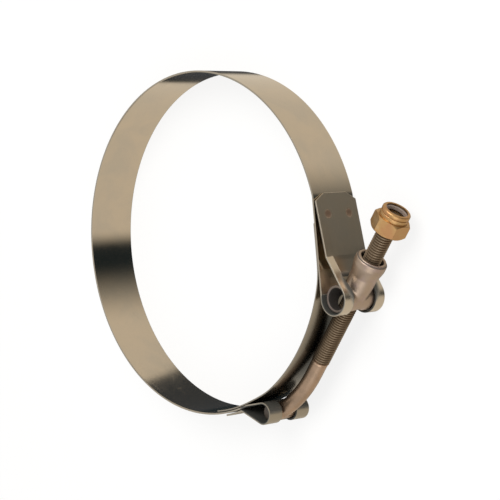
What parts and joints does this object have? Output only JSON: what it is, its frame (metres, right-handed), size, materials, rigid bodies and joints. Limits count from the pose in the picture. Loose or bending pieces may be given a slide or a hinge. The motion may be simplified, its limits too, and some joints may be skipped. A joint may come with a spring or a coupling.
{
  "type": "t bolt hose clamp",
  "caption": "Steel band clamp for hose, drawn tight by a bowed bolt with a cross head, a trunnion and a lock nut; a loose strip bridges the gap.",
  "frame": {"origin": "under the middle of the clamp's outline, on the plane that its lower edge rests on", "axes": "+Z along the hose's axis, across the band's width; +X from the band's closed side towards the bolt; the nut points to +X and +Y"},
  "size_m": [0.1518, 0.1228, 0.0191],
  "materials": {
    "band_steel": "bright rolled stainless strip",
    "bridge_steel": "bright rolled stainless strip",
    "bolt_steel": "satin rolled steel",
    "trunnion_steel": "tumbled satin steel",
    "yellow_zinc": "yellow zinc plate",
    "nylon": "natural nylon"
  },
  "bodies": {
    "band": {"band": "band_steel", "bridge": "bridge_steel"},
    "t_bolt": {"t_bolt": "bolt_steel"},
    "trunnion": {"trunnion": "trunnion_steel"},
    "insert": {"nylon_insert": "nylon"},
    "nut": {"lock_nut": "yellow_zinc"}
  },
  "joints": [
    {"name": "t_bolt_swing", "type": "hinge", "parent": "band", "child": "t_bolt", "pos_m": [0.01711, -0.05753, 0.00953], "axis": [0, 0, 1], "range_deg": [-0.25, 0.25]},
    {"name": "trunnion_swivel", "type": "hinge", "parent": "band", "child": "trunnion", "pos_m": [0.052, -0.01631, 0.00953], "axis": [0, 0, 1], "range_deg": [-1.5, 1.5]},
    {"name": "nut_travel", "type": "slide", "parent": "t_bolt", "child": "insert", "axis": [0.5711, 0.8209, 0], "range_m": [-0.0108, 0.0048]},
    {"name": "nut_spin", "type": "hinge", "parent": "insert", "child": "nut", "pos_m": [0.07228, 0.01283, 0.00953], "axis": [0.5711, 0.8209, 0], "range_deg": [-4285, 1904]}
  ],
  "couplings": [
    {"joint": "nut_travel", "follows": "nut_spin", "m_per_rad": 0.00014435}
  ]
}
